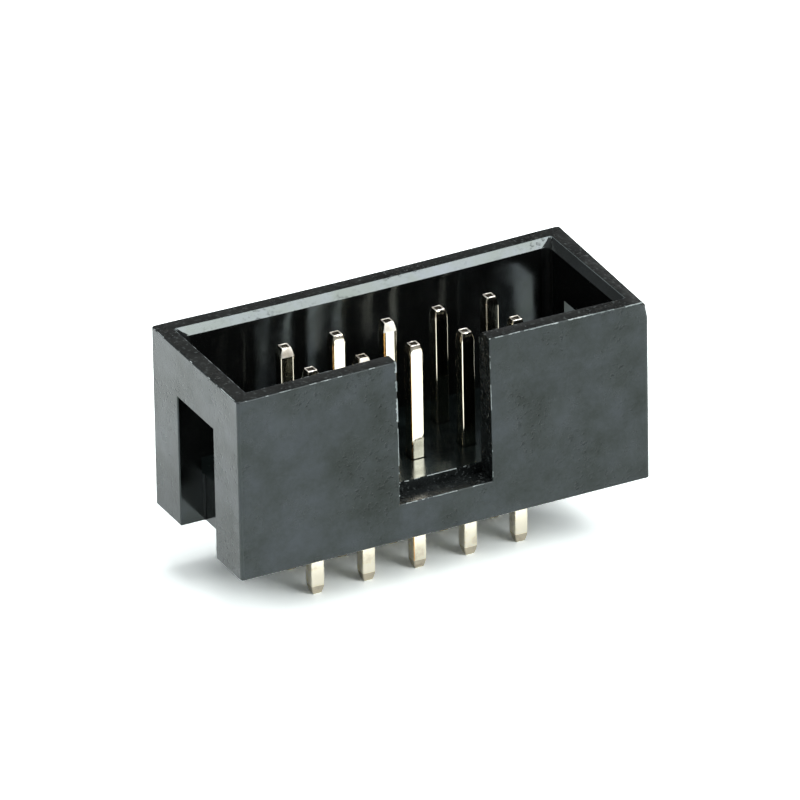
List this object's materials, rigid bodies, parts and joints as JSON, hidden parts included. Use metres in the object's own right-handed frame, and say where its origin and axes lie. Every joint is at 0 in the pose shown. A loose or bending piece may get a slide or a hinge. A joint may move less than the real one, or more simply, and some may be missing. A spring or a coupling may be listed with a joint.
{
  "type": "idc box header",
  "caption": "Shrouded board header for a ribbon cable socket: a keyed, moulded box open at the top, with two rows of square pins that run through its floor.",
  "frame": {"origin": "middle of the pin grid, on the underside of the housing that seats on the board", "axes": "+X along the rows, -Y towards the wall with the polarising slot, +Z out of the mouth"},
  "size_m": [0.0204, 0.0086, 0.012],
  "materials": {
    "housing": "moulded black glass-filled polyester, finely spark-eroded outside and smooth inside",
    "contacts": "bright tin plate over brass wire"
  },
  "bodies": {
    "root": {"housing": "housing", "contact_pin_1": "contacts", "contact_pin_2": "contacts", "contact_pin_3": "contacts", "contact_pin_4": "contacts", "contact_pin_5": "contacts", "contact_pin_6": "contacts", "contact_pin_7": "contacts", "contact_pin_8": "contacts", "contact_pin_9": "contacts", "contact_pin_10": "contacts"}
  },
  "joints": []
}
